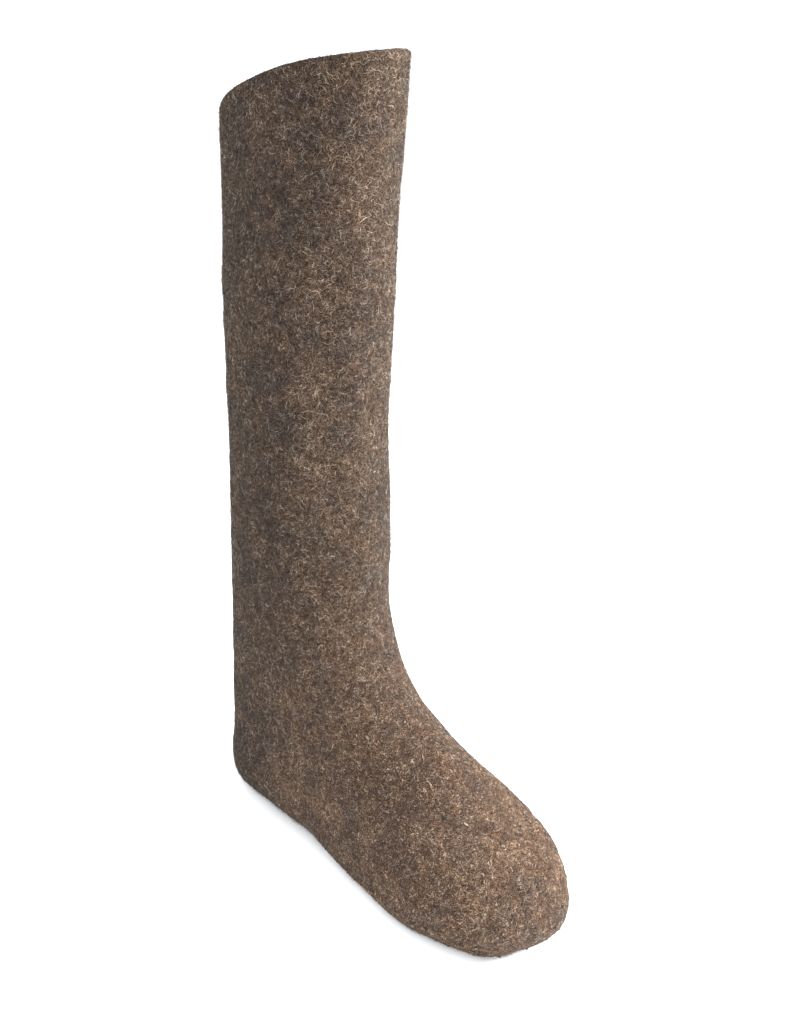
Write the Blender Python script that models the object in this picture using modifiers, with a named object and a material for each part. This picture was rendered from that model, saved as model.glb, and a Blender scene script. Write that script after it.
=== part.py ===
# Valenok: a tall winter boot, felted from wool in one piece, with a loose felt insole.
# Metres, +Z up, toe towards +X, the origin on the floor under the middle of the boot's box.
import math
from collections import namedtuple

import bmesh
import bpy
import numpy as np
from mathutils import Vector

# Driving dimensions of the outside
LENGTH = 0.293
BALL_WIDTH = 0.102
INSTEP_HEIGHT = 0.104
SHAFT_WIDTH = 0.091
COLLAR_FRONT_HEIGHT = 0.480
COLLAR_BACK_HEIGHT = 0.450

# The cut collar dips a little less at its sides, which fades out by this section
COLLAR_SIDE_RISE = 0.002
SIDE_RISE_ENDS_AT = 2

# The soft shaft leans a little to the boot's right, from the ankle up
SHAFT_LEAN = 0.0080
LEAN_FROM_HEIGHT = 0.100
LEAN_CURVE = 1.15

# Felt: the sole is the thickest, and every other place is a share of it
SOLE_FELT = 0.011
RIM_ROUNDING = 0.0018
RIM_SEGMENTS = 2
RIM_EDGE_DEGREES = 50
INSOLE_FELT = 0.004
INSOLE_GAP = 0.0004

# Fineness of the solids
RING_SPACING = 0.018
RING_POINTS = 40
INSOLE_ROWS = 26
INSOLE_COLUMNS = 12

# Fineness of what is only measured: the box round the boot, and the sole line
BOX_PLACES = 300
BOX_TURNS = 180
SOLE_PLACES = 400

# A section runs from a point on the boot's front or top line to one on its back or sole line.
# It is widest at the crest, in percent of the way from back to front, and each half is a
# rounded oval whose power grows as it gets squarer. Felt is in percent of SOLE_FELT.
Section = namedtuple(
    "Section",
    "name front_x front_z back_x back_z width crest front_power back_power front_felt back_felt",
)

# x in percent of LENGTH, z of the collar's height on its own side, width of SHAFT_WIDTH
SHAFT_SECTIONS = (
    Section("collar", 48.5, 100.0, -1.0, 100.0, 98, 50, 2.0, 2.0, 55, 55),
    Section("collar_flare", 45.5, 85.5, -1.0, 87.0, 98, 50, 2.0, 2.0, 55, 55),
    Section("upper", 43.5, 70.5, -1.0, 73.5, 100, 50, 2.0, 2.0, 58, 58),
    Section("middle", 41.5, 55.5, 0.5, 57.5, 101, 50, 2.0, 2.0, 60, 60),
    Section("lower", 43.0, 41.5, 0.0, 40.5, 102, 50, 2.0, 2.0, 62, 62),
    Section("ankle", 43.5, 32.5, 0.5, 26.5, 101, 48, 2.0, 2.1, 65, 68),
    Section("throat", 48.0, 27.0, 1.0, 14.0, 100, 45, 2.0, 2.3, 68, 76),
    Section("heel_back", 52.5, 24.5, 1.5, 6.5, 98, 43, 2.0, 2.6, 70, 84),
)

# x in percent of LENGTH, z of INSTEP_HEIGHT, width of BALL_WIDTH
FOOT_SECTIONS = (
    Section("heel_corner", 55.5, 106.0, 4.5, 5.0, 92, 40, 2.0, 3.0, 70, 90),
    Section("heel_seat", 58.5, 100.5, 13.0, -1.5, 94, 38, 2.0, 3.2, 70, 100),
    Section("waist_rear", 64.0, 94.0, 27.5, -1.0, 92, 36, 2.0, 3.2, 70, 100),
    Section("waist_fore", 70.5, 86.5, 42.5, 1.5, 90, 35, 2.0, 3.2, 70, 100),
    Section("ball", 79.0, 75.5, 62.0, -1.0, 99, 36, 2.1, 3.2, 72, 100),
    Section("toe_joint", 87.0, 63.5, 77.5, -0.5, 99, 38, 2.1, 3.2, 74, 100),
    Section("toe", 94.5, 50.5, 90.0, 1.5, 76, 40, 2.1, 3.0, 78, 92),
    Section("toe_end", 99.0, 37.5, 96.0, 7.5, 44, 45, 2.1, 2.6, 80, 85),
)
TIP_X = 100.0
TIP_Z = 25.0

# The insole lies on the inner floor between these two places, in percent of LENGTH, and stays
# this far inside the boot's own half width
INSOLE_HEEL = 6.0
INSOLE_TOE = 91.5
INSOLE_SIDE_MARGIN = 0.0145
INSOLE_END_POWER = 3.6
INSOLE_FIRST_ROW = 0.03
INSOLE_LAST_ROW = 0.97
DRAPE_FROM_HEIGHT = 0.035

FELT_COLOUR = (0.145, 0.112, 0.088, 1.0)
INSOLE_COLOUR = (0.235, 0.200, 0.165, 1.0)
FELT_ROUGHNESS = 0.95


def natural_spline(knots, values, where):
    """The smooth curve through the values at the knots, unbent at both ends."""
    gaps = np.diff(knots)
    slopes = np.diff(values, axis=0) / gaps[:, None]
    count = len(knots)
    system = np.eye(count)
    load = np.zeros((count, values.shape[1]))
    for i in range(1, count - 1):
        system[i, i - 1] = gaps[i - 1]
        system[i, i] = 2.0 * (gaps[i - 1] + gaps[i])
        system[i, i + 1] = gaps[i]
        load[i] = 6.0 * (slopes[i] - slopes[i - 1])
    bends = np.linalg.solve(system, load)
    where = np.asarray(where, dtype=float)
    i = np.clip(np.searchsorted(knots, where) - 1, 0, count - 2)
    gap = gaps[i][..., None]
    before = (where - knots[i])[..., None]
    after = (knots[i + 1] - where)[..., None]
    chord = (values[i] * after + values[i + 1] * before) / gap
    sag = bends[i] * after * (after ** 2 / gap - gap) + bends[i + 1] * before * (before ** 2 / gap - gap)
    return chord + sag / 6.0


class Last:
    """The boot's outside as a surface over place, along the boot, and turn, round a section."""

    def __init__(self):
        rows = [self._sized(s, COLLAR_FRONT_HEIGHT, COLLAR_BACK_HEIGHT, SHAFT_WIDTH)
                for s in SHAFT_SECTIONS]
        rows += [self._sized(s, INSTEP_HEIGHT, INSTEP_HEIGHT, BALL_WIDTH) for s in FOOT_SECTIONS]
        rows = np.array(rows)
        tip = np.array([TIP_X / 100 * LENGTH, TIP_Z / 100 * INSTEP_HEIGHT])
        closed = np.vstack([rows[:, :4], np.hstack([tip, tip])])
        steps = np.sqrt(np.linalg.norm(np.diff(closed, axis=0), axis=1))
        places = np.concatenate([[0.0], np.cumsum(steps)])
        self.places = places
        self.tip_place = places[-1]
        self.features = rows[:, 5:]
        # The front line runs on round the tip into the sole line, so the toe closes round
        self.knots = np.concatenate([places, 2 * self.tip_place - places[-2::-1]])
        front = np.column_stack([rows[:, 0], rows[:, 1], rows[:, 4]])
        back = np.column_stack([rows[:, 2], rows[:, 3], -rows[:, 4]])
        self.line = np.vstack([front, [[tip[0], tip[1], 0.0]], back[::-1]])
        self.middle = np.zeros(2)
        box = self.points(*np.meshgrid(np.linspace(0, self.tip_place, BOX_PLACES),
                                       np.linspace(0, 2 * math.pi, BOX_TURNS), indexing="ij"))
        flat = box.reshape(-1, 3)[:, :2]
        self.middle = 0.5 * (flat.min(axis=0) + flat.max(axis=0))

    @staticmethod
    def _sized(section, front_height, back_height, width):
        """One section in metres: both ends, half width, crest, powers and shares of felt."""
        return (
            section.front_x / 100 * LENGTH, section.front_z / 100 * front_height,
            section.back_x / 100 * LENGTH, section.back_z / 100 * back_height,
            section.width / 100 * width / 2, section.crest / 100,
            section.front_power, section.back_power,
            section.front_felt / 100, section.back_felt / 100,
        )

    def half_width_over_sole(self, x):
        """Half the width of the section whose sole end lies at this x of the last."""
        fine = np.linspace(self.places[len(SHAFT_SECTIONS)], self.tip_place, SOLE_PLACES)
        sole = natural_spline(self.knots, self.line, 2 * self.tip_place - fine)
        return np.interp(x, sole[:, 0], -sole[:, 2])

    def _section(self, place):
        """Both ends of the section at a place, its crest, powers and shares of felt."""
        front = natural_spline(self.knots, self.line, place)
        back = natural_spline(self.knots, self.line, 2 * self.tip_place - place)
        held = np.minimum(place, self.places[-2])
        crest, front_power, back_power, front_felt, back_felt = np.moveaxis(
            natural_spline(self.places[:-1], self.features, held), -1, 0)
        return front, back, crest, front_power, back_power, front_felt, back_felt

    def points(self, place, turn):
        """Points of the outside; turn 0 is the front or top line, half a turn the sole line."""
        front, back, crest, front_power, back_power, _, _ = self._section(place)
        across = np.cos(turn)
        aside = np.sin(turn)
        power = np.where(across > 0, front_power, back_power)
        reach = (np.abs(across) ** power + np.abs(aside) ** power) ** (-1.0 / power)
        along = reach * across
        centre = back[..., :2] + (front[..., :2] - back[..., :2]) * crest[..., None]
        side = np.where((along > 0)[..., None], front[..., :2] - centre, centre - back[..., :2])
        spot = centre + along[..., None] * side
        x = spot[..., 0]
        z = spot[..., 1]
        near_collar = np.clip(1.0 - place / self.places[SIDE_RISE_ENDS_AT], 0.0, 1.0)
        z = z + COLLAR_SIDE_RISE * aside ** 2 * near_collar
        z = np.maximum(z, 0.0)
        rise = np.clip((z - LEAN_FROM_HEIGHT) / (COLLAR_BACK_HEIGHT - LEAN_FROM_HEIGHT), 0.0, None)
        y = reach * aside * front[..., 2] - SHAFT_LEAN * rise ** LEAN_CURVE
        return np.stack([x - self.middle[0], y - self.middle[1], z], axis=-1)

    def felt(self, place, turn):
        """Thickness of the felt, in shares of SOLE_FELT."""
        _, _, _, _, _, front_felt, back_felt = self._section(place)
        frontness = 0.5 + 0.5 * np.cos(turn)
        return back_felt + (front_felt - back_felt) * frontness

    def ring_places(self):
        """Places of the rings: the sections, with even steps between them."""
        rings = []
        for start, end in zip(self.places[:-1], self.places[1:]):
            ends = self.points(np.array([start, end])[:, None], np.array([[0.0, math.pi]]))
            gap = np.linalg.norm(ends[1] - ends[0], axis=-1).max()
            count = max(2, round(gap / RING_SPACING))
            rings += list(np.linspace(start, end, count, endpoint=False))
        return np.array(rings)


def felt_material(name, colour):
    material = bpy.data.materials.new(name)
    material.use_nodes = True
    shader = material.node_tree.nodes["Principled BSDF"]
    shader.inputs["Base Color"].default_value = colour
    shader.inputs["Roughness"].default_value = FELT_ROUGHNESS
    shader.inputs["Metallic"].default_value = 0.0
    material.diffuse_color = colour
    return material


def grid_object(name, points, closed_round, tip, material, collection):
    """An open surface through a grid of points, closed by a fan where it has a tip."""
    rows, columns, _ = points.shape
    mesh_maker = bmesh.new()
    verts = [[mesh_maker.verts.new(point) for point in row] for row in points]
    last_column = columns if closed_round else columns - 1
    for row in range(rows - 1):
        for column in range(last_column):
            after = (column + 1) % columns
            mesh_maker.faces.new((verts[row][column], verts[row + 1][column],
                                  verts[row + 1][after], verts[row][after]))
    if tip is not None:
        tip_vert = mesh_maker.verts.new(tip)
        for column in range(last_column):
            mesh_maker.faces.new((verts[-1][column], tip_vert, verts[-1][(column + 1) % columns]))
    mesh = bpy.data.meshes.new(name)
    mesh_maker.to_mesh(mesh)
    mesh_maker.free()
    mesh.shade_smooth()
    mesh.materials.append(material)
    made = bpy.data.objects.new(name, mesh)
    collection.objects.link(made)
    return made


def make_boot(last, collection):
    """Shaft, foot and sole: one open surface, thickened inwards by the felt at each place."""
    places = last.ring_places()
    turns = np.linspace(0, 2 * math.pi, RING_POINTS, endpoint=False)
    place_grid, turn_grid = np.meshgrid(places, turns, indexing="ij")
    tip = last.points(np.array(last.tip_place), np.array(0.0))
    felt = felt_material("grey_brown_felt", FELT_COLOUR)
    boot = grid_object("felt_boot", last.points(place_grid, turn_grid), True, tip, felt, collection)
    group = boot.vertex_groups.new(name="felt_share")
    shares = last.felt(place_grid, turn_grid).ravel()
    for index, share in enumerate(shares):
        group.add([index], float(share), "REPLACE")
    tip_share = float(last.felt(np.array(last.tip_place), np.array(0.0)))
    group.add([len(shares)], tip_share, "REPLACE")
    wall = boot.modifiers.new("wall", "SOLIDIFY")
    wall.thickness = SOLE_FELT
    wall.offset = -1.0
    wall.vertex_group = group.name
    rim = boot.modifiers.new("rim", "BEVEL")
    rim.width = RIM_ROUNDING
    rim.segments = RIM_SEGMENTS
    rim.limit_method = "ANGLE"
    rim.angle_limit = math.radians(RIM_EDGE_DEGREES)
    return boot


def make_insole(last, boot, collection):
    """A loose sheet of thin felt, draped on the boot's inner floor, round at heel and toe."""
    finished_boot = boot.evaluated_get(bpy.context.evaluated_depsgraph_get())
    shares = 0.5 - 0.5 * np.cos(np.linspace(INSOLE_FIRST_ROW, INSOLE_LAST_ROW, INSOLE_ROWS) * math.pi)
    x = (INSOLE_HEEL + (INSOLE_TOE - INSOLE_HEEL) * shares) / 100 * LENGTH
    ends = (1.0 - np.abs(2 * shares - 1) ** INSOLE_END_POWER) ** (1 / INSOLE_END_POWER)
    half = (last.half_width_over_sole(x) - INSOLE_SIDE_MARGIN) * ends
    across = np.linspace(1, -1, INSOLE_COLUMNS + 1)
    sheet_points = np.empty((len(x), len(across), 3))
    for row, (middle_x, reach) in enumerate(zip(x - last.middle[0], half)):
        for column, share in enumerate(across):
            above = Vector((middle_x, share * reach - last.middle[1], DRAPE_FROM_HEIGHT))
            _, floor, _, _ = finished_boot.ray_cast(above, Vector((0, 0, -1)))
            sheet_points[row, column] = floor + Vector((0, 0, INSOLE_GAP))
    felt = felt_material("insole_felt", INSOLE_COLOUR)
    insole = grid_object("insole", sheet_points, False, None, felt, collection)
    sheet = insole.modifiers.new("sheet", "SOLIDIFY")
    sheet.thickness = INSOLE_FELT
    sheet.offset = -1.0
    return insole


def main():
    for old in list(bpy.data.objects):
        bpy.data.objects.remove(old, do_unlink=True)
    collection = bpy.data.collections.new("valenki_felt_boot")
    bpy.context.scene.collection.children.link(collection)
    last = Last()
    boot = make_boot(last, collection)
    make_insole(last, boot, collection)


main()
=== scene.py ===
import math
from collections import namedtuple

import bmesh
import bpy
import numpy as np
from mathutils import Matrix, Vector


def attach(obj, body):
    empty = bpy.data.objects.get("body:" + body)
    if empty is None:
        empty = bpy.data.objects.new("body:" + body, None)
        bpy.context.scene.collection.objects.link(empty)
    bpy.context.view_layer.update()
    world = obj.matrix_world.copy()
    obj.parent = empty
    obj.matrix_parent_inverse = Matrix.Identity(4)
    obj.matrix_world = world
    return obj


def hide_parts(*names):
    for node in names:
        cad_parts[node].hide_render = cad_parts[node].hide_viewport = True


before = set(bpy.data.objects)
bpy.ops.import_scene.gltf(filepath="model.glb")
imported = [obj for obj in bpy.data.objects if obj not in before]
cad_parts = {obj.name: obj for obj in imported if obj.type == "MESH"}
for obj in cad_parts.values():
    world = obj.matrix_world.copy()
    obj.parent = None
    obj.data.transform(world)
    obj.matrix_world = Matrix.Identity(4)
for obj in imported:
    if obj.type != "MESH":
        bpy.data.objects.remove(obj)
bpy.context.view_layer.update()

# The felted boot: shaft, foot and sole are one piece of matted sheep's wool.
# It is felted over a straight last, dried and cut off plain at the collar, so it has no seam,
# heel or welt. The sole is the thickest felt, and the surface keeps soft troughs and ridges.
LENGTH = 0.293
BALL_WIDTH = 0.102
INSTEP_HEIGHT = 0.104
SHAFT_WIDTH = 0.091
COLLAR_FRONT_HEIGHT = 0.480
COLLAR_BACK_HEIGHT = 0.450
COLLAR_SIDE_RISE = 0.002
SHAFT_LEAN = 0.0080
LEAN_FROM_HEIGHT = 0.100
LEAN_CURVE = 1.15
SOLE_FELT = 0.011

# A section runs from a point on the boot's front or top line to one on its back or sole line
Section = namedtuple(
    "Section",
    "name front_x front_z back_x back_z width crest front_power back_power front_felt back_felt",
)
SHAFT_SECTIONS = (
    Section("collar", 48.5, 100.0, -1.0, 100.0, 98, 50, 2.0, 2.0, 55, 55),
    Section("collar_flare", 45.5, 85.5, -1.0, 87.0, 98, 50, 2.0, 2.0, 55, 55),
    Section("upper", 43.5, 70.5, -1.0, 73.5, 100, 50, 2.0, 2.0, 58, 58),
    Section("middle", 41.5, 55.5, 0.5, 57.5, 101, 50, 2.0, 2.0, 60, 60),
    Section("lower", 43.0, 41.5, 0.0, 40.5, 102, 50, 2.0, 2.0, 62, 62),
    Section("ankle", 43.5, 32.5, 0.5, 26.5, 101, 48, 2.0, 2.1, 65, 68),
    Section("throat", 48.0, 27.0, 1.0, 14.0, 100, 45, 2.0, 2.3, 68, 76),
    Section("heel_back", 52.5, 24.5, 1.5, 6.5, 98, 43, 2.0, 2.6, 70, 84),
)
FOOT_SECTIONS = (
    Section("heel_corner", 55.5, 106.0, 4.5, 5.0, 92, 40, 2.0, 3.0, 70, 90),
    Section("heel_seat", 58.5, 100.5, 13.0, -1.5, 94, 38, 2.0, 3.2, 70, 100),
    Section("waist_rear", 64.0, 94.0, 27.5, -1.0, 92, 36, 2.0, 3.2, 70, 100),
    Section("waist_fore", 70.5, 86.5, 42.5, 1.5, 90, 35, 2.0, 3.2, 70, 100),
    Section("ball", 79.0, 75.5, 62.0, -1.0, 99, 36, 2.1, 3.2, 72, 100),
    Section("toe_joint", 87.0, 63.5, 77.5, -0.5, 99, 38, 2.1, 3.2, 74, 100),
    Section("toe", 94.5, 50.5, 90.0, 1.5, 76, 40, 2.1, 3.0, 78, 92),
    Section("toe_end", 99.0, 37.5, 96.0, 7.5, 44, 45, 2.1, 2.6, 80, 85),
)
TIP_X = 100.0
TIP_Z = 25.0

# How finely the surface is sampled for its box, and for rings that lie evenly apart
BOX_STEPS = (300, 180)
PLACE_STEPS = (1500, 7)


def natural_spline(knots, values, where):
    """The smooth curve through the values at the knots, unbent at both ends."""
    gaps = np.diff(knots)
    slopes = np.diff(values, axis=0) / gaps[:, None]
    count = len(knots)
    system = np.eye(count)
    load = np.zeros((count, values.shape[1]))
    for i in range(1, count - 1):
        system[i, i - 1] = gaps[i - 1]
        system[i, i] = 2.0 * (gaps[i - 1] + gaps[i])
        system[i, i + 1] = gaps[i]
        load[i] = 6.0 * (slopes[i] - slopes[i - 1])
    bends = np.linalg.solve(system, load)
    where = np.asarray(where, dtype=float)
    i = np.clip(np.searchsorted(knots, where) - 1, 0, count - 2)
    gap = gaps[i][..., None]
    before = (where - knots[i])[..., None]
    after = (knots[i + 1] - where)[..., None]
    chord = (values[i] * after + values[i + 1] * before) / gap
    sag = bends[i] * after * (after ** 2 / gap - gap) + bends[i + 1] * before * (before ** 2 / gap - gap)
    return chord + sag / 6.0


def unit(vectors):
    return vectors / np.linalg.norm(vectors, axis=-1, keepdims=True).clip(1e-9)


class Last:
    """The boot's outside as a surface over place, along the boot, and turn, round a section."""

    def __init__(self):
        rows = [self._sized(s, COLLAR_FRONT_HEIGHT, COLLAR_BACK_HEIGHT, SHAFT_WIDTH)
                for s in SHAFT_SECTIONS]
        rows += [self._sized(s, INSTEP_HEIGHT, INSTEP_HEIGHT, BALL_WIDTH) for s in FOOT_SECTIONS]
        rows = np.array(rows)
        tip = np.array([TIP_X / 100 * LENGTH, TIP_Z / 100 * INSTEP_HEIGHT])
        closed = np.vstack([rows[:, :4], np.hstack([tip, tip])])
        steps = np.sqrt(np.linalg.norm(np.diff(closed, axis=0), axis=1))
        self.places = np.concatenate([[0.0], np.cumsum(steps)])
        self.tip_place = self.places[-1]
        self.features = rows[:, 5:]
        self.knots = np.concatenate([self.places, 2 * self.tip_place - self.places[-2::-1]])
        front = np.column_stack([rows[:, 0], rows[:, 1], rows[:, 4]])
        back = np.column_stack([rows[:, 2], rows[:, 3], -rows[:, 4]])
        self.line = np.vstack([front, [[tip[0], tip[1], 0.0]], back[::-1]])
        self.middle = np.zeros(2)
        box = self.points(*np.meshgrid(np.linspace(0, self.tip_place, BOX_STEPS[0]),
                                       np.linspace(0, 2 * math.pi, BOX_STEPS[1]), indexing="ij"))
        flat = box.reshape(-1, 3)[:, :2]
        self.middle = 0.5 * (flat.min(axis=0) + flat.max(axis=0))

    @staticmethod
    def _sized(section, front_height, back_height, width):
        """One section in metres: both ends, half width, crest, powers and shares of felt."""
        return (
            section.front_x / 100 * LENGTH, section.front_z / 100 * front_height,
            section.back_x / 100 * LENGTH, section.back_z / 100 * back_height,
            section.width / 100 * width / 2, section.crest / 100,
            section.front_power, section.back_power,
            section.front_felt / 100, section.back_felt / 100,
        )

    def _features(self, place):
        held = np.minimum(place, self.places[-2])
        return np.moveaxis(natural_spline(self.places[:-1], self.features, held), -1, 0)

    def points(self, place, turn):
        """Points of the outside; turn 0 is the front or top line, half a turn the sole line."""
        front = natural_spline(self.knots, self.line, place)
        back = natural_spline(self.knots, self.line, 2 * self.tip_place - place)
        crest, front_power, back_power, _, _ = self._features(place)
        across = np.cos(turn)
        aside = np.sin(turn)
        power = np.where(across > 0, front_power, back_power)
        reach = (np.abs(across) ** power + np.abs(aside) ** power) ** (-1.0 / power)
        along = reach * across
        centre = back[..., :2] + (front[..., :2] - back[..., :2]) * crest[..., None]
        side = np.where((along > 0)[..., None], front[..., :2] - centre, centre - back[..., :2])
        spot = centre + along[..., None] * side
        near_collar = np.clip(1.0 - place / self.places[2], 0.0, 1.0)
        z = np.maximum(spot[..., 1] + COLLAR_SIDE_RISE * aside ** 2 * near_collar, 0.0)
        rise = np.clip((z - LEAN_FROM_HEIGHT) / (COLLAR_BACK_HEIGHT - LEAN_FROM_HEIGHT), 0.0, None)
        y = reach * aside * front[..., 2] - SHAFT_LEAN * rise ** LEAN_CURVE
        return np.stack([spot[..., 0] - self.middle[0], y - self.middle[1], z], axis=-1)

    def felt(self, place, turn):
        """Thickness of the felt in metres."""
        _, _, _, front_felt, back_felt = self._features(place)
        frontness = 0.5 + 0.5 * np.cos(turn)
        return SOLE_FELT * (back_felt + (front_felt - back_felt) * frontness)

    def even_places(self, start, end, count):
        """Places whose rings lie about evenly apart on the surface."""
        fine = np.linspace(start, end, PLACE_STEPS[0])
        turns = np.linspace(0, math.pi, PLACE_STEPS[1])
        rings = self.points(*np.meshgrid(fine, turns, indexing="ij"))
        moves = np.linalg.norm(np.diff(rings, axis=0), axis=-1).max(axis=1)
        travelled = np.concatenate([[0.0], np.cumsum(moves)])
        return np.interp(np.linspace(0, travelled[-1], count), travelled, fine)


LUMP_CELLS = 32


def lumps(spots, size, seed):
    """Smooth random swellings of about this size, from -1 to 1, the same at each run."""
    draw = np.random.default_rng(seed)
    heights = draw.uniform(-1, 1, (LUMP_CELLS,) * 3)
    turned, _ = np.linalg.qr(draw.normal(size=(3, 3)))
    spots = spots @ turned / size
    cell = np.floor(spots).astype(int)
    share = spots - cell
    share = share * share * (3 - 2 * share)
    total = np.zeros(spots.shape[:-1])
    for corner in np.ndindex(2, 2, 2):
        weight = np.prod(np.where(corner, share, 1 - share), axis=-1)
        x, y, z = np.moveaxis((cell + corner) % LUMP_CELLS, -1, 0)
        total += weight * heights[x, y, z]
    return total


# Creases, hollows and swellings of this boot, listed in millimetres from the middle of the
# sole. A depth below nought swells. Ridge is the share of it that stands up alongside.
Fold = namedtuple("Fold", "name depth width ridge points")
FOLDS = (
    Fold("shaft_trough", 1.5, 11.0, 0.35,
         ((-22, -31, 410), (-25, -30, 375), (-30, -29, 335), (-32, -27, 288),
          (-30, -24, 246), (-26, -22, 215), (-28, -24, 183), (-28, -27, 147))),
    Fold("collar_arch", 0.8, 3.0, 0.45,
         ((-19, -29, 425), (-14, -22, 434), (-11, -14, 431), (-11, -5, 421))),
    Fold("shaft_notch", 0.7, 3.5, 0.4, ((-18, -20, 383), (-21, -23, 366))),
    Fold("shaft_dent", 0.9, 5.0, 0.3, ((-27, -23, 222), (-24, -19, 214), (-25, -20, 205))),
    Fold("ankle_nick", 1.2, 2.6, 0.7,
         ((-17, -9, 149), (-15, 0, 146), (-16, 8, 146), (-20, 17, 148))),
    Fold("ankle_fold", 0.8, 7.0, 0.5,
         ((-30, -39, 133), (-16, -27, 128), (-5, -10, 128), (-3, 8, 128), (-8, 24, 129))),
    Fold("instep_fold", 0.6, 8.0, 0.5,
         ((-18, -43, 98), (0, -32, 103), (16, -14, 106), (20, 4, 106), (12, 24, 105))),
    Fold("toe_wrinkle", 1.0, 2.4, 0.7,
         ((97, -25, 67), (103, -14, 67), (110, -5, 65), (110, 8, 65), (108, 20, 62), (105, 31, 57))),
    Fold("toe_low_wrinkle", 0.8, 2.6, 0.6, ((104, -37, 53), (109, -30, 56), (115, -22, 58))),
    Fold("toe_tip_wrinkle", 0.7, 2.4, 0.6, ((131, -6, 52), (134, 3, 51), (134, 12, 48))),
    Fold("sole_edge_fold", 0.9, 1.8, 0.5,
         ((96, -47, 10), (106, -44, 11), (115, -40, 12), (123, -36, 13), (132, -28, 14),
          (139, -18, 15))),
    Fold("heel_back_fold", 0.8, 6.0, 0.4,
         ((-132, -30, 112), (-142, -12, 108), (-143, 8, 108), (-134, 28, 113))),
    Fold("tendon_fold", 0.7, 7.0, 0.4,
         ((-131, -30, 150), (-142, -12, 146), (-143, 8, 146), (-134, 26, 150))),
    Fold("left_trough", 1.2, 12.0, 0.3,
         ((-60, 33, 400), (-64, 36, 330), (-60, 38, 260), (-66, 40, 190))),
    Fold("left_ankle_fold", 0.8, 6.0, 0.5,
         ((-20, 37, 128), (-34, 45, 122), (-52, 47, 121))),
    Fold("left_toe_wrinkle", 0.8, 3.0, 0.6, ((86, 44, 46), (98, 38, 55), (106, 32, 57))),
    Fold("toe_fullness", -2.2, 14.0, 0.0,
         ((130, 34, 22), (138, 26, 17), (143, 14, 14), (144, 2, 12), (140, -9, 9))),
    Fold("toe_side_hollow", 1.0, 10.0, 0.0,
         ((92, -46, 8), (104, -42, 8), (114, -36, 7), (122, -29, 7))),
    Fold("heel_side_hollow", 1.5, 12.0, 0.0,
         ((-110, -36, 8), (-80, -41, 9), (-45, -43, 11), (-22, -42, 12))),
    Fold("waist_fullness", -1.4, 12.0, 0.0,
         ((-16, -42, 12), (5, -42, 11), (22, -44, 10), (40, -46, 9))),
)
FOLD_STEP = 0.0015
FOLD_END_EASE = 0.6
FOLD_REACH = 4
RIDGE_AWAY = 1.9
RIDGE_SPREAD = 0.8


def folded(spots):
    """How far each spot sinks or rises for the folds, in metres."""
    shift = np.zeros(spots.shape[:-1])
    for fold in FOLDS:
        corners = np.array(fold.points) / 1000
        run = np.concatenate([[0.0], np.cumsum(np.linalg.norm(np.diff(corners, axis=0), axis=1))])
        count = max(8, int(run[-1] / FOLD_STEP))
        line = natural_spline(run, corners, np.linspace(0, run[-1], count))
        depth = fold.depth / 1000 * np.sin(np.linspace(0, math.pi, count)) ** FOLD_END_EASE
        width = fold.width / 1000
        reach = run[-1] / 2 + FOLD_REACH * width
        near = np.linalg.norm(spots - corners.mean(axis=0), axis=-1) < reach
        gaps = np.linalg.norm(spots[near][:, None] - line[None], axis=-1)
        closest = gaps.argmin(axis=1)
        away = gaps[np.arange(len(closest)), closest] / width
        ridge = fold.ridge * np.exp(-((away - RIDGE_AWAY) / RIDGE_SPREAD) ** 2)
        trough = -np.exp(-away ** 2) + ridge
        shift[near] += depth[closest] * trough
    return shift


last = Last()
OUTSIDE_RINGS = 400
RING_POINTS = 184
RIM_ROUNDING = 0.0011
RIM_CORNER_ROWS = 4
RIM_FLAT_ROWS = 3
INSIDE_RINGS = 60
LUMPS = ((0.026, 0.00045), (0.011, 0.00030), (0.0048, 0.00020))
RIM_LUMP_SHARE = 0.6
OUTSIDE_SEED = 11
RIM_SEED = 21
INSIDE_SEED = 31
CUT_RISE = 0.0075
CUT_RISE_TURN = math.radians(45)
CUT_RISE_SPREAD = math.radians(35)
CUT_RISE_FROM = 0.43
# Steps in place, which runs from 0 at the collar to the tip of the toe
START_STEP = 0.01
TIP_MARGIN = 0.02
INSIDE_TIP_MARGIN = 0.08

turns = np.linspace(0, 2 * math.pi, RING_POINTS, endpoint=False)
# The outside ends where the rounding of the rim starts
start_points = last.points(np.array([0.0, START_STEP]), np.zeros(2))
rim_start = RIM_ROUNDING / np.linalg.norm(np.diff(start_points, axis=0)) * START_STEP
places = last.even_places(rim_start, last.tip_place - TIP_MARGIN, OUTSIDE_RINGS)


def surface(places):
    """Points of the outside, its outward normals and the felt's thickness, ring by ring."""
    place, turn = np.meshgrid(places, turns, indexing="ij")
    nudge = 1e-3
    points = last.points(place, turn)
    along = last.points(place + nudge, turn) - last.points(place - nudge, turn)
    around = last.points(place, turn + nudge) - last.points(place, turn - nudge)
    return points, unit(np.cross(along, around)), unit(along), last.felt(place, turn)


outside, outward, _, _ = surface(places)
relief = folded(outside)
for number, (size, height) in enumerate(LUMPS):
    relief += height * lumps(outside, size, OUTSIDE_SEED + number)
outside = outside + outward * relief[..., None]
outside[..., 2] = outside[..., 2].clip(0.0)

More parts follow.
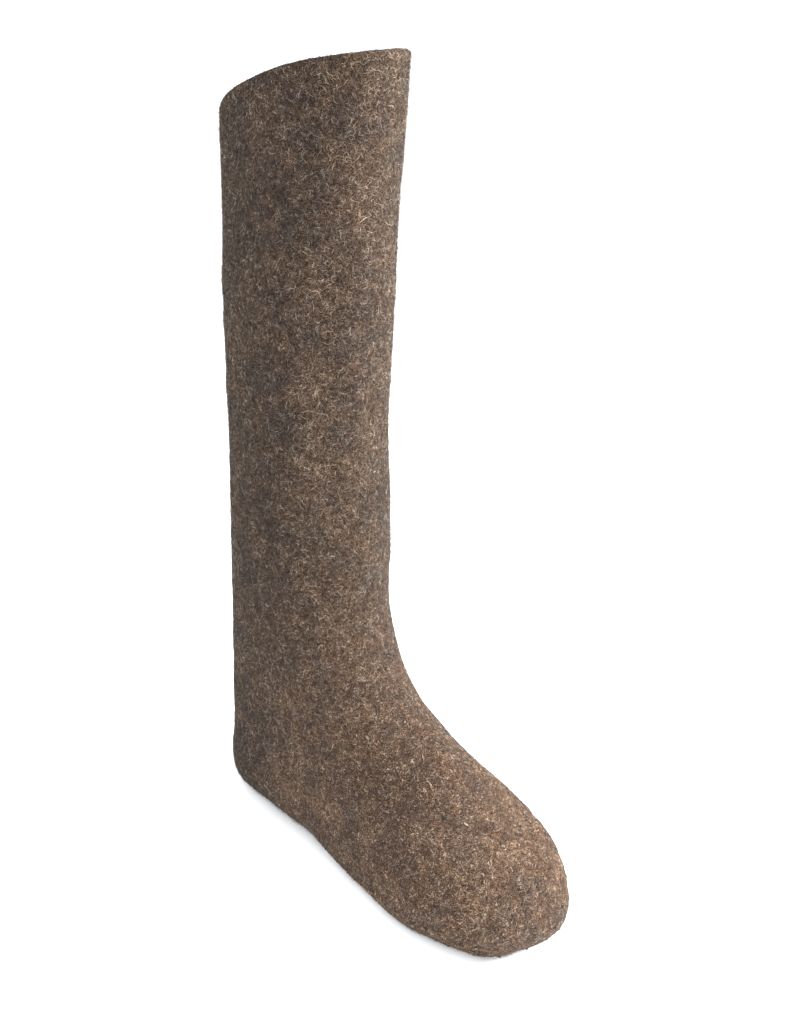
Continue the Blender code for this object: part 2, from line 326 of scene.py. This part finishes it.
# The cut rim: two rounded corners and a flat between them
edge, edge_out, edge_down, edge_felt = (value[0] for value in surface(np.array([0.0])))
rim = []
for step in range(1, RIM_CORNER_ROWS + 1):
    angle = step / RIM_CORNER_ROWS * math.pi / 2
    rim.append(edge + edge_out * RIM_ROUNDING * (math.cos(angle) - 1)
               + edge_down * RIM_ROUNDING * (1 - math.sin(angle)))
inner_corner = edge - edge_out * edge_felt[:, None]
for step in range(1, RIM_FLAT_ROWS + 1):
    share = step / (RIM_FLAT_ROWS + 1)
    rim.append(rim[RIM_CORNER_ROWS - 1] * (1 - share)
               + (inner_corner + edge_out * RIM_ROUNDING) * share)
for step in range(RIM_CORNER_ROWS + 1):
    angle = step / RIM_CORNER_ROWS * math.pi / 2
    rim.append(inner_corner + edge_out * RIM_ROUNDING * (1 - math.sin(angle))
               + edge_down * RIM_ROUNDING * (1 - math.cos(angle)))
rim = np.array(rim)
for size, height in LUMPS:
    rim[..., 2] += RIM_LUMP_SHARE * height * lumps(rim, size, RIM_SEED)

inside_places = last.even_places(rim_start, last.tip_place - INSIDE_TIP_MARGIN, INSIDE_RINGS)
inside, inside_out, _, inside_felt = surface(inside_places)
inside = inside - inside_out * inside_felt[..., None]
for number, (size, height) in enumerate(LUMPS):
    inside += inside_out * (height * lumps(inside, size, INSIDE_SEED + number))[..., None]
inside[..., 2] = inside[..., 2].clip(SOLE_FELT)

# Rows from the toe up the outside, over the rim and down the inside to the toe again
rows = np.concatenate([outside[::-1], rim, inside[1:]])

# The collar was cut off by hand, and its cut rises a little on the boot's left front
turned = (turns - CUT_RISE_TURN + math.pi) % (2 * math.pi) - math.pi
nearness = (rows[..., 2] - CUT_RISE_FROM) / (COLLAR_FRONT_HEIGHT - CUT_RISE_FROM)
rows[..., 2] += CUT_RISE * np.exp(-turned ** 2 / CUT_RISE_SPREAD ** 2) * nearness.clip(0, 1) ** 2
outer_tip = last.points(np.array(last.tip_place), np.array(0.0))
inner_tip = inside[-1].mean(axis=0)
# Where the outside, the rim and the inside start and end on the bake map
BAKE_SHARES = (0.0, 0.80, 0.83, 1.0)
row_share = np.concatenate([
    np.linspace(BAKE_SHARES[0], BAKE_SHARES[1], OUTSIDE_RINGS),
    np.linspace(BAKE_SHARES[1], BAKE_SHARES[2], len(rim) + 1)[1:],
    np.linspace(BAKE_SHARES[2], BAKE_SHARES[3], INSIDE_RINGS)[1:],
])


def mesh_piece(name, points, faces, bake_map, look):
    """A piece from points, faces and the face corners' places on its bake map."""
    mesh = bpy.data.meshes.new(name)
    mesh.from_pydata(points, [], faces)
    corners = np.asarray(bake_map, dtype=float).ravel()
    mesh.uv_layers.new(name="OFBake").data.foreach_set("uv", corners)
    mesh.shade_smooth()
    mesh.materials.append(look)
    piece = bpy.data.objects.new(name, mesh)
    bpy.context.scene.collection.objects.link(piece)
    return piece


def closed_stocking(rows, first_tip, last_tip):
    """Points, faces and bake map of rings that are closed by a fan at both ends."""
    count, around, _ = rows.shape
    points = np.vstack([rows.reshape(-1, 3), [first_tip, last_tip]])
    faces = []
    corners = []
    for row in range(count - 1):
        low, high = row_share[row], row_share[row + 1]
        for column in range(around):
            after = (column + 1) % around
            faces.append((row * around + column, row * around + after,
                          (row + 1) * around + after, (row + 1) * around + column))
            left, right = column / around, (column + 1) / around
            corners += [(left, low), (right, low), (right, high), (left, high)]
    for column in range(around):
        after = (column + 1) % around
        left, right = column / around, (column + 1) / around
        faces.append((count * around, after, column))
        corners += [(left, 0.0), (right, row_share[0]), (left, row_share[0])]
        top = (count - 1) * around
        faces.append((count * around + 1, top + column, top + after))
        corners += [(left, 1.0), (left, row_share[-1]), (right, row_share[-1])]
    return points, faces, corners


class Flow:
    """A value or colour that runs over a surface; arithmetic on it adds Math nodes."""

    def __init__(self, finish, socket):
        self.finish = finish
        self.socket = socket

    def worked(self, operation, *values):
        return self.finish.node("ShaderNodeMath", {"operation": operation}, dict(enumerate(values)))

    def __add__(self, other):
        return self.worked("ADD", self, other)

    def __sub__(self, other):
        return self.worked("SUBTRACT", self, other)

    def __rsub__(self, other):
        return self.worked("SUBTRACT", other, self)

    def __mul__(self, other):
        return self.worked("MULTIPLY", self, other)

    def __abs__(self):
        return self.worked("ABSOLUTE", self)

    __radd__ = __add__
    __rmul__ = __mul__

    def larger(self, other):
        return self.worked("MAXIMUM", self, other)

    def between(self, low, high):
        return self.finish.node("ShaderNodeMapRange", {"interpolation_type": "SMOOTHSTEP"},
                                {"Value": self, "From Min": low, "From Max": high})


# Dry wool and a matt floor hardly shine
SPECULAR_LEVEL = 0.12


class Finish:
    """A material whose nodes are added as its look is written down."""

    def __init__(self, name, roughness, sheen, sheen_roughness, sheen_tint):
        self.material = bpy.data.materials.new(name)
        self.material.use_nodes = True
        self.nodes = self.material.node_tree.nodes
        self.links = self.material.node_tree.links
        self.shader = self.nodes["Principled BSDF"]
        self.shader.inputs["Roughness"].default_value = roughness
        self.shader.inputs["Sheen Weight"].default_value = sheen
        self.shader.inputs["Sheen Roughness"].default_value = sheen_roughness
        self.shader.inputs["Sheen Tint"].default_value = sheen_tint
        self.shader.inputs["Specular IOR Level"].default_value = SPECULAR_LEVEL

    def feed(self, socket, value):
        if isinstance(value, Flow):
            self.links.new(value.socket, socket)
        else:
            socket.default_value = value

    def node(self, kind, settings, inputs, gives=0):
        made = self.nodes.new(kind)
        for name, value in settings.items():
            if name == "stops":
                self.set_stops(made.color_ramp, value)
            else:
                setattr(made, name, value)
        sockets = [socket for socket in made.inputs if not socket.is_unavailable]
        named = {socket.name: socket for socket in reversed(sockets)}
        for name, value in inputs.items():
            self.feed(sockets[name] if isinstance(name, int) else named[name], value)
        outputs = [socket for socket in made.outputs if not socket.is_unavailable]
        given = {socket.name: socket for socket in outputs}
        return Flow(self, outputs[gives] if isinstance(gives, int) else given[gives])

    @staticmethod
    def set_stops(ramp, stops):
        while len(ramp.elements) < len(stops):
            ramp.elements.new(0.5)
        for element, (position, colour) in zip(ramp.elements, stops):
            element.position = position
            element.color = (*colour, 1.0)

    def noise(self, where, scale, detail, gives=0):
        inputs = {"Vector": where, "Scale": scale, "Detail": detail}
        return self.node("ShaderNodeTexNoise", {}, inputs, gives)

    def mix(self, share, first, second, how="MIX"):
        first, second = ((*colour, 1.0) if isinstance(colour, tuple) else colour
                         for colour in (first, second))
        return self.node("ShaderNodeMix", {"data_type": "RGBA", "blend_type": how},
                         {"Factor": share, "A": first, "B": second})

    def tinted(self, colour, tint):
        return self.mix(1.0, colour, tint, "MULTIPLY")

    def feed_shader(self, **values):
        for name, value in values.items():
            self.feed(self.shader.inputs[name.replace("_", " ").title()], value)


STRAND_EDGE = 0.075


def strands(finish, where, length, thickness, turn):
    """Thin bright lines, like wool strands that lie one way, from 0 to 1."""
    turned = finish.node("ShaderNodeVectorRotate", {"rotation_type": "EULER_XYZ"},
                         {"Vector": where, "Rotation": turn})
    drawn_out = finish.node("ShaderNodeVectorMath", {"operation": "MULTIPLY"},
                            {0: turned, 1: (1 / length, 1 / thickness, 1 / thickness)})
    level = finish.noise(drawn_out, 1.0, 1.0)
    return 1.0 - abs(level - 0.5).between(0.0, STRAND_EDGE)


COOL_SHADE = (0.150, 0.136, 0.126)
PLAIN_SHADE = (0.216, 0.185, 0.155)
WARM_SHADE = (0.236, 0.184, 0.138)
BLOTCH_TINT = (0.76, 0.73, 0.72)
SPECK_TINT = (0.62, 0.60, 0.59)
# Painted light: the low, forward part of the foot is painted paler, as if more light fell on it
PAINTED_LIGHT_TINT = (1.66, 1.60, 1.57)
PAINTED_LIGHT_HEIGHTS = (0.20, 0.09)
PAINTED_LIGHT_REACH = (-0.13, 0.01)
# Painted shadow: the felt is painted darker in the lowest few millimetres, where shade falls by the
# floor
PAINTED_SHADOW_TINT = (0.36, 0.35, 0.36)
PAINTED_SHADOW_HEIGHTS = (0.0115, 0.0055)


def patches(finish, where):
    """The fleece's shades by place: cool and warm browns, painted light on the foot, painted shade at
    the sole's edge.
    """
    broad = finish.noise(where, 38.0, 3.0).between(0.35, 0.65)
    warm = finish.noise(where, 95.0, 2.0).between(0.42, 0.68)
    blotch = finish.noise(where, 140.0, 2.0).between(0.40, 0.62)
    speck = finish.noise(where, 360.0, 3.0).between(0.38, 0.60)
    shade = finish.mix(broad, COOL_SHADE, PLAIN_SHADE)
    shade = finish.mix(warm * 0.5, shade, WARM_SHADE)
    shade = finish.mix(blotch, finish.tinted(shade, BLOTCH_TINT), shade)
    shade = finish.mix(speck, finish.tinted(shade, SPECK_TINT), shade)
    height = finish.node("ShaderNodeSeparateXYZ", {}, {0: where}, "Z")
    forward = finish.node("ShaderNodeSeparateXYZ", {}, {0: where}, "X")
    # Painted light: the foot is painted paler towards the front and the ground, and the heel is left
    # darker
    painted_light = (height + broad * 0.03).between(*PAINTED_LIGHT_HEIGHTS) * forward.between(*PAINTED_LIGHT_REACH)
    shade = finish.mix(painted_light, shade, finish.tinted(shade, PAINTED_LIGHT_TINT))
    # Painted shadow: darker along the sole's edge next to the floor
    painted_shadow = height.between(*PAINTED_SHADOW_HEIGHTS)
    return finish.mix(painted_shadow, shade, finish.tinted(shade, PAINTED_SHADOW_TINT))


WOOL_TINT = (0.85, 0.84, 0.83, 1.0)
FELT_TINT = (0.80, 0.78, 0.76, 1.0)
GRAIN_TINT = (0.14, 0.13, 0.13)
SWAY = 0.0022
LONG_STRANDS = (0.0032, 0.00060)
SHORT_STRANDS = (0.0030, 0.00055)
LONG_TURN = (0.3, 0.2, 0.4)
SHORT_TURNS = ((1.1, 0.5, 1.9), (0.4, 1.5, 0.9), (2.0, 0.9, 2.7), (1.6, 2.2, 0.1))


def matted_felt(name, dark, light):
    """Matted wool: strands that lie every way over a darker ground."""
    finish = Finish(name, roughness=0.95, sheen=0.02, sheen_roughness=0.45, sheen_tint=FELT_TINT)
    where = finish.node("ShaderNodeTexCoord", {}, {}, "Object")
    sway = finish.noise(where, 420.0, 2.0, "Color")
    sway = finish.node("ShaderNodeVectorMath", {"operation": "SCALE"}, {0: sway, "Scale": SWAY})
    bent = finish.node("ShaderNodeVectorMath", {"operation": "ADD"}, {0: where, 1: sway})
    mat = strands(finish, bent, *LONG_STRANDS, LONG_TURN)
    for turn in SHORT_TURNS:
        mat = mat.larger(strands(finish, bent, *SHORT_STRANDS, turn))
    colour = finish.mix(mat, dark, light)
    colour = finish.tinted(colour, patches(finish, where))
    grain = finish.noise(where, 1900.0, 2.0)
    colour = finish.mix(grain.between(0.42, 0.56), finish.tinted(colour, GRAIN_TINT), colour)
    height = mat + grain * 0.6
    bump = finish.node("ShaderNodeBump", {}, {"Strength": 0.7, "Distance": 0.0005, "Height": height})
    finish.feed_shader(base_color=colour, normal=bump)
    return finish.material


BOOT_DARK = (0.020, 0.014, 0.011)
BOOT_LIGHT = (0.430, 0.334, 0.260)
boot_look = matted_felt("grey_brown_felt", BOOT_DARK, BOOT_LIGHT)
boot = mesh_piece("felted_boot", *closed_stocking(rows, outer_tip, inner_tip), boot_look)
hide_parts("felt_boot")
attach(boot, "root")


# The wool on the surface: short strands that felting has left lying and curling on the boot.
# Each is a thin flat ribbon, pointed at both ends, in one of the fleece's shades of brown and
# grey. Most lie on the felt and some stand in it. Few are inside, near the collar only.
Wool = namedtuple(
    "Wool", "name count length width rise fall curl segments inside foot gain shades seed")
DARK_SHADES = (
    (0.0, (0.012, 0.008, 0.006)), (0.3, (0.046, 0.023, 0.014)), (0.6, (0.048, 0.040, 0.036)),
    (1.0, (0.132, 0.086, 0.053)),
)
LIGHT_SHADES = (
    (0.0, (0.100, 0.072, 0.055)), (0.35, (0.370, 0.240, 0.150)), (0.7, (0.400, 0.360, 0.325)),
    (1.0, (0.780, 0.680, 0.550)),
)
SILVER_SHADES = (
    (0.0, (0.240, 0.205, 0.175)), (0.5, (0.600, 0.555, 0.500)), (1.0, (0.980, 0.940, 0.880)),
)
WOOLS = (
    Wool("ground_wool", 90000, 0.0018, 0.00032, 10, -10, 50, 2, 0.20, 1.2, 0.9, DARK_SHADES, 101),
    Wool("short_wool", 90000, 0.0018, 0.00024, 20, -20, 90, 2, 0.20, 1.4, 1.35, LIGHT_SHADES, 102),
    Wool("curled_wool", 46000, 0.0026, 0.00017, 26, -24, 100, 3, 0.20, 1.2, 1.35, SILVER_SHADES, 103),
    Wool("silver_wool", 24000, 0.0037, 0.00013, 28, -26, 100, 4, 0.15, 0.45, 1.55, SILVER_SHADES, 104),
    Wool("standing_wool", 5000, 0.0019, 0.00008, 48, 15, 90, 4, 0.10, 0.8, 1.5, LIGHT_SHADES, 105),
    Wool("kemp_hairs", 900, 0.0080, 0.00013, 14, -8, 85, 9, 0.05, 0.25, 1.45, SILVER_SHADES, 106),
)
# How far into the boot wool lies, and where the foot has shorter wool
INSIDE_WOOL_DEPTH = 0.12
FOOT_WOOL_HEIGHTS = (0.09, 0.17)
FOOT_WOOL_REACH = (-0.10, 0.01)
FOOT_WOOL_LENGTH = 0.72
RIM_WOOL = 0.5

# How much strands differ from each other, and how close they come to the felt and the floor
LENGTH_SPREAD = 0.35
HEADING_SPREAD = 0.25
TILT_SPREAD = 0.55
RISE_RANGE = (0.3, 1.6)
FALL_RANGE = (-0.3, 1.2)
WIDTH_RANGE = (0.6, 1.4)
FELT_CLEARANCE = 0.00005
FLOOR_CLEARANCE = 0.0001
CELL_ENDS = (0.15, 0.85)
CELL_SIDES = (0.2, 0.8)

beside = np.roll(rows, -1, axis=1)
quads = np.stack([rows[:-1], rows[1:], beside[1:], beside[:-1]])
quad_out = unit(np.cross(quads[3] - quads[0], quads[1] - quads[0]))
quad_area = 0.5 * np.linalg.norm(np.cross(quads[2] - quads[0], quads[3] - quads[1]), axis=-1)
in_the_boot = np.arange(len(rows) - 1) >= OUTSIDE_RINGS + len(rim) - RIM_CORNER_ROWS
on_the_rim = (np.arange(len(rows) - 1) >= OUTSIDE_RINGS - 1) & ~in_the_boot
depth_in_boot = np.maximum(COLLAR_BACK_HEIGHT - quads[0][..., 2], 0.0)
on_the_foot = (np.interp(quads[0][..., 2], FOOT_WOOL_HEIGHTS, (1, 0))
               * np.interp(quads[0][..., 0], FOOT_WOOL_REACH, (0, 1)))


def wool_points(wool, draw):
    """The middle line of every strand and the way it faces, as (strand, point, axis)."""
    fade = np.clip(1.0 - depth_in_boot / INSIDE_WOOL_DEPTH, 0.0, 1.0) * wool.inside
    weight = quad_area * np.where(in_the_boot[:, None], fade, 1 + (wool.foot - 1) * on_the_foot)
    weight = (weight * np.where(on_the_rim[:, None], RIM_WOOL, 1.0)).ravel()
    chosen = draw.choice(len(weight), wool.count, p=weight / weight.sum())
    along, across = draw.random((2, wool.count, 1))
    corners = quads.reshape(4, -1, 3)[:, chosen]
    root = ((corners[0] * (1 - along) + corners[1] * along) * (1 - across)
            + (corners[3] * (1 - along) + corners[2] * along) * across)
    out = quad_out.reshape(-1, 3)[chosen]
    first = unit(corners[3] - corners[0])
    second = np.cross(out, first)
    length = wool.length * np.exp(draw.normal(0, LENGTH_SPREAD, wool.count))
    length = length * (1 + (FOOT_WOOL_LENGTH - 1) * on_the_foot.ravel()[chosen])
    step = (length / wool.segments)[:, None, None]
    shares = np.linspace(0, 1, wool.segments)
    heading = draw.uniform(0, 2 * math.pi, wool.count)[:, None]
    curl = np.radians(wool.curl) * draw.normal(0, 1, wool.count)[:, None]
    sway = draw.normal(0, HEADING_SPREAD, (wool.count, wool.segments))
    heading = heading + curl * (shares - 0.5) + sway
    start = np.radians(wool.rise * draw.uniform(*RISE_RANGE, wool.count))[:, None]
    end = np.radians(wool.fall + abs(wool.fall) * draw.uniform(*FALL_RANGE, wool.count))[:, None]
    lift = start + (end - start) * shares
    moves = (first[:, None] * (np.cos(heading) * np.cos(lift))[..., None]
             + second[:, None] * (np.sin(heading) * np.cos(lift))[..., None]
             + out[:, None] * np.sin(lift)[..., None]) * step
    line = np.concatenate([np.zeros((wool.count, 1, 3)), np.cumsum(moves, axis=1)], axis=1)
    lying = wool.fall < 0
    if lying:
        line = line - 0.5 * (line[:, :1] + line[:, -1:])
    line = line + root[:, None]
    away = np.sum((line - root[:, None]) * out[:, None], axis=-1, keepdims=True)
    if lying:
        line = line + out[:, None] * (FELT_CLEARANCE - away.min(axis=1, keepdims=True))
    line[..., 2] = line[..., 2].clip(FLOOR_CLEARANCE)
    tilt = draw.normal(0, TILT_SPREAD, (wool.count, 1, 1))
    ways = np.concatenate([moves, moves[:, -1:]], axis=1)
    side = unit(np.cross(out[:, None], ways))
    facing = unit(side * np.cos(tilt) + np.cross(unit(ways), side) * np.sin(tilt))
    return line, facing


def wool_piece(wool):
    """One kind of wool: two points across at each inner point of a strand, and one at its ends."""
    draw = np.random.default_rng(wool.seed)
    line, facing = wool_points(wool, draw)
    count, spots, _ = line.shape
    width = wool.width * draw.uniform(*WIDTH_RANGE, (count, 1, 1))
    middle = line[:, 1:-1]
    sides = facing[:, 1:-1] * width / 2
    pairs = np.stack([middle - sides, middle + sides], axis=2).reshape(count, -1, 3)
    points = np.concatenate([line[:, :1], pairs, line[:, -1:]], axis=1)
    per_strand = points.shape[1]
    pattern = [(0, 1, 2)]
    for pair in range(1, spots - 2):
        near = 2 * pair - 1
        pattern += [(near, near + 2, near + 3), (near, near + 3, near + 1)]
    pattern.append((per_strand - 3, per_strand - 1, per_strand - 2))
    pattern = np.array(pattern)
    faces = (np.arange(count)[:, None, None] * per_strand + pattern).reshape(-1, 3)
    # Each strand has a cell of its own on the bake map
    cells = math.ceil(math.sqrt(count))
    shares = np.linspace(*CELL_ENDS, spots)
    inner = [(share, level) for share in shares[1:-1] for level in CELL_SIDES]
    in_cell = np.array([(shares[0], 0.5), *inner, (shares[-1], 0.5)])
    corner = np.stack([np.arange(count) % cells, np.arange(count) // cells], axis=-1)
    bake_map = (corner[:, None] + in_cell) / cells
    bake_map = bake_map[:, pattern.ravel()].reshape(-1, 2)
    finish = Finish(wool.name + "_look", roughness=0.80, sheen=0.02, sheen_roughness=0.35,
                    sheen_tint=WOOL_TINT)
    pick = finish.node("ShaderNodeNewGeometry", {}, {}, "Random Per Island")
    shade = finish.node("ShaderNodeValToRGB", {"stops": wool.shades}, {0: pick})
    where = finish.node("ShaderNodeTexCoord", {}, {}, "Object")
    shade = finish.tinted(shade, (wool.gain,) * 3)
    finish.feed_shader(base_color=finish.tinted(shade, patches(finish, where)))
    points = points.reshape(-1, 3)
    piece = mesh_piece(wool.name, points, faces.tolist(), bake_map, finish.material)
    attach(piece, "root")


for wool in WOOLS:
    wool_piece(wool)


# Pills and chaff: wear rolls loose wool into small pills along the sole's edge and the foot, and
# a few bits of dark bark and pale straw are felted in, as the fleece brought them along.
Crumb = namedtuple("Crumb", "name size flat stretch shades marks scattered lowest highest seed")
PILL_SHADES = ((0.0, (0.050, 0.036, 0.027)), (1.0, (0.190, 0.150, 0.118)))
BARK_SHADES = ((0.0, (0.008, 0.006, 0.005)), (1.0, (0.030, 0.022, 0.016)))
STRAW_SHADES = ((0.0, (0.110, 0.085, 0.055)), (1.0, (0.220, 0.180, 0.125)))
CRUMBS = (
    Crumb("wool_pills", 0.0010, 0.7, 1.2, PILL_SHADES, (), 90, 0.004, 0.030, 201),
    Crumb("dark_burrs", 0.0016, 0.6, 1.4, BARK_SHADES,
          ((102, -47, 19), (111, -44, 21), (132, -31, 31), (139, -24, 26), (146, 12, 33),
           (-19, -21, 376), (-24, -22, 371), (128, -34, 18)), 22, 0.004, 0.450, 202),
    Crumb("straw_chaff", 0.0012, 0.25, 2.2, STRAW_SHADES,
          ((10, -28, 92), (17, -27, 92), (100, -20, 78), (-40, -40, 300)), 4, 0.010, 0.440, 203),
)
CRUMB_ROUGHNESS = 0.35
CRUMB_WRINKLES = 3
CRUMB_SIZES = (0.5, 1.3)
CRUMB_LIFT = 0.6
CRUMB_LOWEST = 0.0002


def crumb_piece(crumb):
    """Small lumps that the wool on the felt holds, some at their marks and the rest scattered."""
    draw = np.random.default_rng(crumb.seed)
    skin = outside.reshape(-1, 3)
    ways = outward.reshape(-1, 3)
    marked = [int(np.linalg.norm(skin - np.array(mark) / 1000, axis=1).argmin())
              for mark in crumb.marks]
    free = np.flatnonzero((skin[:, 2] > crumb.lowest) & (skin[:, 2] < crumb.highest))
    spots = marked + [int(spot) for spot in draw.choice(free, crumb.scattered, replace=False)]
    lump = bmesh.new()
    bmesh.ops.create_icosphere(lump, subdivisions=2, radius=0.5)
    ball = np.array([vert.co for vert in lump.verts])
    corners = np.array([[vert.index for vert in face.verts] for face in lump.faces])
    lump.free()
    points = []
    faces = []
    for number, spot in enumerate(spots):
        size = crumb.size * draw.uniform(*CRUMB_SIZES)
        wrinkles = lumps(ball * CRUMB_WRINKLES + number, 1.0, crumb.seed)
        rough = ball * (1 + CRUMB_ROUGHNESS * wrinkles[:, None])
        rough = rough * (crumb.stretch, 1.0, crumb.flat) * size
        stand = Vector(ways[spot]).to_track_quat("Z", "Y").to_matrix()
        turn = stand @ Matrix.Rotation(draw.uniform(0, 2 * math.pi), 3, "Z")
        centre = skin[spot] + ways[spot] * size * crumb.flat * CRUMB_LIFT
        placed = rough @ np.array(turn).T + centre
        placed[:, 2] = placed[:, 2].clip(CRUMB_LOWEST)
        points.append(placed)
        faces.append(corners + number * len(ball))
    finish = Finish(crumb.name + "_look", roughness=0.88, sheen=0.04, sheen_roughness=0.4,
                    sheen_tint=WOOL_TINT)
    pick = finish.node("ShaderNodeNewGeometry", {}, {}, "Random Per Island")
    where = finish.node("ShaderNodeTexCoord", {}, {}, "Object")
    speckle = finish.noise(where, 2600.0, 2.0)
    mixed = pick * 0.5 + speckle * 0.5
    shade = finish.node("ShaderNodeValToRGB", {"stops": crumb.shades}, {0: mixed})
    bump = finish.node("ShaderNodeBump", {},
                       {"Strength": 0.5, "Distance": 0.0002, "Height": speckle})
    finish.feed_shader(base_color=shade, normal=bump)
    faces = np.vstack(faces)
    cells = math.ceil(math.sqrt(len(faces)))
    corner = np.stack([np.arange(len(faces)) % cells, np.arange(len(faces)) // cells], axis=-1)
    bake_map = (corner[:, None] + np.array(((0.1, 0.1), (0.9, 0.1), (0.5, 0.9)))) / cells
    bake_map = bake_map.reshape(-1, 2)
    piece = mesh_piece(crumb.name, np.vstack(points), faces.tolist(), bake_map, finish.material)
    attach(piece, "root")


for crumb in CRUMBS:
    crumb_piece(crumb)


# The insole: a loose sheet of thinner, light grey-brown felt, cut to the last and laid on the
# floor of the boot. Its cut edge is square, and wear has left it slightly uneven.
INSOLE_CUTS = 3
INSOLE_LUMPS = ((0.018, 0.00030), (0.006, 0.00018))
INSOLE_SEED = 41
INSOLE_DARK = (0.420, 0.360, 0.300)
INSOLE_LIGHT = (0.950, 0.850, 0.730)
sheet = bmesh.new()
sheet.from_mesh(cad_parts["insole"].data)
bmesh.ops.subdivide_edges(sheet, edges=sheet.edges[:], cuts=INSOLE_CUTS, use_grid_fill=True)
sheet.normal_update()
spots = np.array([vert.co for vert in sheet.verts])
rise = sum(height * lumps(spots, size, INSOLE_SEED) for size, height in INSOLE_LUMPS)
for vert, up in zip(sheet.verts, rise):
    vert.co.z += float(up)
insole_mesh = bpy.data.meshes.new("felt_insole")
sheet.to_mesh(insole_mesh)
sheet.free()
insole_mesh.materials.clear()
insole_mesh.materials.append(matted_felt("insole_wool", INSOLE_DARK, INSOLE_LIGHT))
insole_mesh.shade_smooth()
insole = bpy.data.objects.new("felt_insole", insole_mesh)
bpy.context.scene.collection.objects.link(insole)
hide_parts("insole")
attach(insole, "root")


# The stage: a plain pale floor under soft studio light, and the camera at the photograph's
# angle to the boot, aimed again so that the one boot stands in the middle.
FLOOR_SIZE = 120.0
FLOOR_DARK = (0.975, 0.98, 0.985)
FLOOR_LIGHT = (0.985, 0.988, 0.99)
floor_mesh = bpy.data.meshes.new("floor")
half = FLOOR_SIZE / 2
floor_corners = [(-half, -half, 0), (half, -half, 0), (half, half, 0), (-half, half, 0)]
floor_mesh.from_pydata(floor_corners, [], [(0, 1, 2, 3)])
pale = Finish("pale_floor", roughness=0.9, sheen=0.0, sheen_roughness=0.5,
              sheen_tint=(1.0, 1.0, 1.0, 1.0))
cloud = pale.noise(pale.node("ShaderNodeTexCoord", {}, {}, "Object"), 3.0, 2.0)
pale.feed_shader(base_color=pale.mix(cloud, FLOOR_DARK, FLOOR_LIGHT))
floor_mesh.materials.append(pale.material)
floor = bpy.data.objects.new("floor", floor_mesh)
bpy.context.scene.collection.objects.link(floor)

SKY_COLOUR = (0.965, 0.99, 1.035, 1.0)
SKY_STRENGTH = 1.60
world = bpy.data.worlds.new("studio")
world.use_nodes = True
sky = world.node_tree.nodes["Background"]
sky.inputs["Color"].default_value = SKY_COLOUR
sky.inputs["Strength"].default_value = SKY_STRENGTH
bpy.context.scene.world = world

Lamp = namedtuple("Lamp", "name place size watts colour aim")
LAMPS = (
    Lamp("key", (0.95, 0.70, 1.15), 0.8, 124.0, (1.0, 0.985, 0.96), (0.0, 0.0, 0.23)),
    Lamp("toe", (0.62, -0.55, 0.62), 0.5, 8.0, (1.0, 0.99, 0.98), (0.08, 0.0, 0.03)),
    Lamp("back", (-1.20, 0.60, 1.10), 1.0, 9.0, (0.98, 0.99, 1.0), (0.0, 0.0, 0.23)),
)
for lamp in LAMPS:
    light = bpy.data.lights.new(lamp.name, "AREA")
    light.shape = "DISK"
    light.size = lamp.size
    light.energy = lamp.watts
    light.color = lamp.colour
    stand = bpy.data.objects.new(lamp.name, light)
    stand.location = lamp.place
    stand.rotation_euler = (Vector(lamp.aim) - stand.location).to_track_quat("-Z", "Y").to_euler()
    bpy.context.scene.collection.objects.link(stand)

CAMERA_PLACE = (0.4639, -0.3831, 0.4081)
HEADING = math.radians(140.07)
PITCH_DOWN = math.radians(16.39)
ROLL = math.radians(2.07)
LENS_MM = 37.46
level_gaze = Vector((math.cos(HEADING), math.sin(HEADING), 0.0))
gaze = level_gaze * math.cos(PITCH_DOWN) - Vector((0.0, 0.0, math.sin(PITCH_DOWN)))
level_right = Vector((math.sin(HEADING), -math.cos(HEADING), 0.0))
level_up = level_right.cross(gaze)
right = level_right * math.cos(ROLL) + level_up * math.sin(ROLL)
up = level_up * math.cos(ROLL) - level_right * math.sin(ROLL)
camera_data = bpy.data.cameras.new("camera")
camera_data.lens = LENS_MM
camera_data.sensor_width = 36.0
camera_data.clip_start = 0.02
camera = bpy.data.objects.new("camera", camera_data)
turned_camera = Matrix((right, up, -gaze)).transposed().to_4x4()
camera.matrix_world = Matrix.Translation(CAMERA_PLACE) @ turned_camera
bpy.context.scene.collection.objects.link(camera)
bpy.context.scene.camera = camera
bpy.context.scene.view_settings.view_transform = "Standard"
